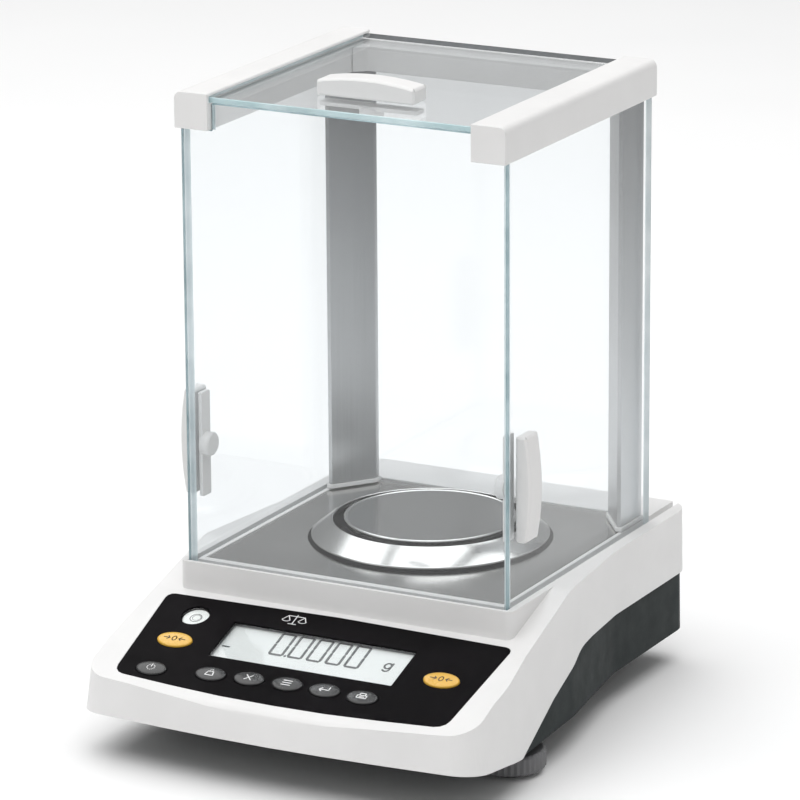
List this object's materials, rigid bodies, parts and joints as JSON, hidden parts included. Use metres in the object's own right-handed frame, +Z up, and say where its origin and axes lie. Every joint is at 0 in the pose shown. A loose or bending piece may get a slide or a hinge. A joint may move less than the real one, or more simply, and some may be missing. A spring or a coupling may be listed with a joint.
{
  "type": "analytical balance",
  "caption": "Analytical balance: faceted base with sloping key panel, glass draft shield with sliding side and top doors, round pan inside a shield ring, levelling feet.",
  "frame": {"origin": "middle of the outline on the surface the balance stands on", "axes": "+X to the right seen from the front, +Y to the back, +Z up"},
  "size_m": [0.2278, 0.2879, 0.3388],
  "materials": {
    "white_plastic": "fine texture",
    "dark_plastic": "fine texture",
    "black_panel": "satin film",
    "grey_plastic": "moulded",
    "key_grey": "domed",
    "key_amber": "domed",
    "display_glass": "liquid crystal",
    "clear_lens": "clear",
    "clear_glass": "clear float glass",
    "brushed_steel": "brushed",
    "satin_aluminium": "satin",
    "cast_aluminium": "as cast",
    "circuit_board": "solder mask",
    "copper_wire": "enamelled copper wire",
    "magnet_iron": "ground",
    "black_rubber": "matt"
  },
  "bodies": {
    "base": {"cell_frame": "cast_aluminium", "chamber_tray": "grey_plastic", "chassis": "cast_aluminium", "column_foot_left": "white_plastic", "column_foot_right": "white_plastic", "column_left": "satin_aluminium", "column_right": "satin_aluminium", "control_panel": "black_panel", "crossbar": "white_plastic", "data_port": "brushed_steel", "display_window": "clear_lens", "floor_plate": "brushed_steel", "force_coil": "copper_wire", "front_cover": "dark_plastic", "front_pane": "clear_glass", "guide_lower": "satin_aluminium", "guide_upper": "satin_aluminium", "hook_cover": "dark_plastic", "housing_screw_left": "brushed_steel", "housing_screw_right": "brushed_steel", "key_board": "circuit_board", "lcd_module": "display_glass", "level_holder": "grey_plastic", "level_vial": "clear_lens", "lever": "satin_aluminium", "load_receptor": "cast_aluminium", "lower_housing": "dark_plastic", "magnet_pot": "magnet_iron", "main_board": "circuit_board", "pan_carrier": "satin_aluminium", "power_inlet": "black_panel", "rail_left": "white_plastic", "rail_right": "white_plastic", "rear_foot_left": "black_rubber", "rear_foot_right": "black_rubber", "rear_pane": "clear_glass", "upper_housing": "white_plastic"},
    "left_door": {"door_left": "clear_glass", "handle_left": "white_plastic", "handle_clip_left": "white_plastic"},
    "right_door": {"door_right": "clear_glass", "handle_right": "white_plastic", "handle_clip_right": "white_plastic"},
    "top_door": {"top_pane": "clear_glass", "handle_top": "white_plastic", "handle_clip_top": "white_plastic"},
    "pan": {"weighing_pan": "brushed_steel"},
    "ring": {"shield_ring": "brushed_steel"},
    "left_pad": {"foot_pad_left": "black_rubber"},
    "left_wheel": {"levelling_wheel_left": "grey_plastic"},
    "right_pad": {"foot_pad_right": "black_rubber"},
    "right_wheel": {"levelling_wheel_right": "grey_plastic"},
    "key_tare_left": {"key_tare_left": "key_amber"},
    "key_tare_right": {"key_tare_right": "key_amber"},
    "key_power": {"key_power": "key_grey"},
    "key_calibrate": {"key_calibrate": "key_grey"},
    "key_clear": {"key_clear": "key_grey"},
    "key_menu": {"key_menu": "key_grey"},
    "key_enter": {"key_enter": "key_grey"},
    "key_print": {"key_print": "key_grey"}
  },
  "joints": [
    {"name": "left_door_slide", "type": "slide", "parent": "base", "child": "left_door", "axis": [0, 1, 0], "range_m": [0, 0.12]},
    {"name": "right_door_slide", "type": "slide", "parent": "base", "child": "right_door", "axis": [0, 1, 0], "range_m": [0, 0.12]},
    {"name": "top_door_slide", "type": "slide", "parent": "base", "child": "top_door", "axis": [0, 1, 0], "range_m": [0, 0.11]},
    {"name": "pan_lift", "type": "slide", "parent": "base", "child": "pan", "axis": [0, 0, 1], "range_m": [0, 0.03]},
    {"name": "ring_lift", "type": "slide", "parent": "base", "child": "ring", "axis": [0, 0, 1], "range_m": [0, 0.03]},
    {"name": "left_foot_screw", "type": "slide", "parent": "base", "child": "left_pad", "axis": [0, 0, -1], "range_m": [-0.0025, 0.0025]},
    {"name": "left_wheel_turn", "type": "hinge", "parent": "left_pad", "child": "left_wheel", "pos_m": [-0.092, -0.059, 0], "axis": [0, 0, -1], "range_deg": [-720, 720]},
    {"name": "right_foot_screw", "type": "slide", "parent": "base", "child": "right_pad", "axis": [0, 0, -1], "range_m": [-0.0025, 0.0025]},
    {"name": "right_wheel_turn", "type": "hinge", "parent": "right_pad", "child": "right_wheel", "pos_m": [0.092, -0.059, 0], "axis": [0, 0, -1], "range_deg": [-720, 720]},
    {"name": "key_tare_left_press", "type": "slide", "parent": "base", "child": "key_tare_left", "axis": [0, 0.3173, -0.9483], "range_m": [0, 0.001], "stiffness_N_per_m": 600},
    {"name": "key_tare_right_press", "type": "slide", "parent": "base", "child": "key_tare_right", "axis": [0, 0.3173, -0.9483], "range_m": [0, 0.001], "stiffness_N_per_m": 600},
    {"name": "key_power_press", "type": "slide", "parent": "base", "child": "key_power", "axis": [0, 0.3173, -0.9483], "range_m": [0, 0.001], "stiffness_N_per_m": 600},
    {"name": "key_calibrate_press", "type": "slide", "parent": "base", "child": "key_calibrate", "axis": [0, 0.3173, -0.9483], "range_m": [0, 0.001], "stiffness_N_per_m": 600},
    {"name": "key_clear_press", "type": "slide", "parent": "base", "child": "key_clear", "axis": [0, 0.3173, -0.9483], "range_m": [0, 0.001], "stiffness_N_per_m": 600},
    {"name": "key_menu_press", "type": "slide", "parent": "base", "child": "key_menu", "axis": [0, 0.3173, -0.9483], "range_m": [0, 0.001], "stiffness_N_per_m": 600},
    {"name": "key_enter_press", "type": "slide", "parent": "base", "child": "key_enter", "axis": [0, 0.3173, -0.9483], "range_m": [0, 0.001], "stiffness_N_per_m": 600},
    {"name": "key_print_press", "type": "slide", "parent": "base", "child": "key_print", "axis": [0, 0.3173, -0.9483], "range_m": [0, 0.001], "stiffness_N_per_m": 600}
  ],
  "couplings": [
    {"joint": "left_wheel_turn", "follows": "left_foot_screw", "rad_per_m": 5026.5},
    {"joint": "right_wheel_turn", "follows": "right_foot_screw", "rad_per_m": 5026.5}
  ]
}
